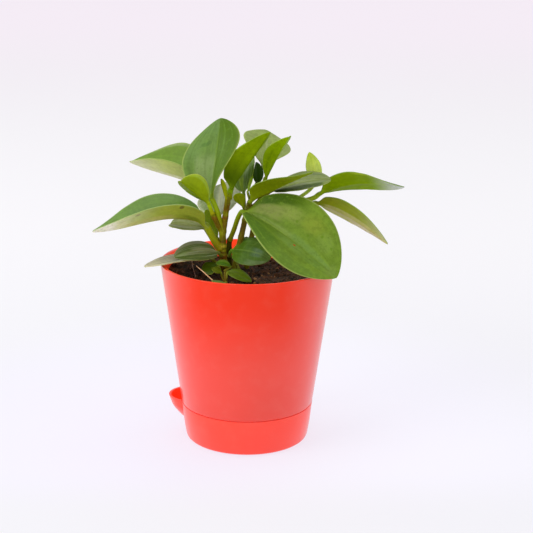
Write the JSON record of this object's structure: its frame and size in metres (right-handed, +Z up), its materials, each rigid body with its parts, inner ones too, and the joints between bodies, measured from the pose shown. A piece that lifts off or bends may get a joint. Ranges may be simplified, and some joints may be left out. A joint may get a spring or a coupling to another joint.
{
  "type": "potted peperomia",
  "caption": "Fleshy-leaved peperomia house plant growing in a tapered red self-watering pot that stands in a flush water saucer with a filling spout at its side.",
  "frame": {"origin": "centre of the saucer's flat underside, on the pot's axis", "axes": "+Z up along the pot's axis, -Y towards the viewer of the picture, +X to the viewer's right, so the filling spout is on the -X side"},
  "size_m": [0.1934, 0.1257, 0.2004],
  "materials": {
    "pot_plastic": "semi-gloss moulded plastic",
    "soil": "moist dark potting compost",
    "stem": "smooth green-brown stem",
    "leaf": "waxy fleshy leaf",
    "young_leaf": "waxy pale leaf underside",
    "straw": "dry plant fibre"
  },
  "bodies": {
    "root": {"planter_pot": "pot_plastic", "reservoir_saucer": "pot_plastic", "potting_soil": "soil", "main_stem": "stem", "rear_stem": "stem", "centre_stem": "stem", "right_stem": "stem", "sprout_stem_right": "stem", "sprout_stem_left": "stem", "stalk_low": "stem", "leaf_front_right_big": "leaf", "leaf_top_upright": "leaf", "leaf_young_left": "young_leaf", "leaf_long_left": "leaf", "leaf_upper_left": "leaf", "leaf_back_left": "leaf", "leaf_low_left": "leaf", "leaf_over_rim_left": "leaf", "leaf_top_centre": "young_leaf", "leaf_top_right": "young_leaf", "leaf_back_round": "leaf", "leaf_back_small": "leaf", "leaf_right_narrow": "young_leaf", "leaf_right_back": "leaf", "leaf_young_right": "young_leaf", "leaf_far_right_upper": "leaf", "leaf_far_right_lower": "leaf", "leaf_low_front": "leaf", "sprout_leaf_top": "leaf", "sprout_leaf_right": "leaf", "sprout_leaf_left": "leaf", "sprout_leaf_back": "leaf", "sprout_leaf_front": "leaf", "leaf_centre_back": "leaf", "leaf_young_centre": "young_leaf", "leaf_bud_left": "young_leaf", "leaf_back_wide": "leaf", "leaf_small_shaded": "leaf", "leaf_bud_right": "young_leaf", "leaf_bud_low": "young_leaf", "straw_bit": "straw", "fibre_bit": "straw"}
  },
  "joints": []
}
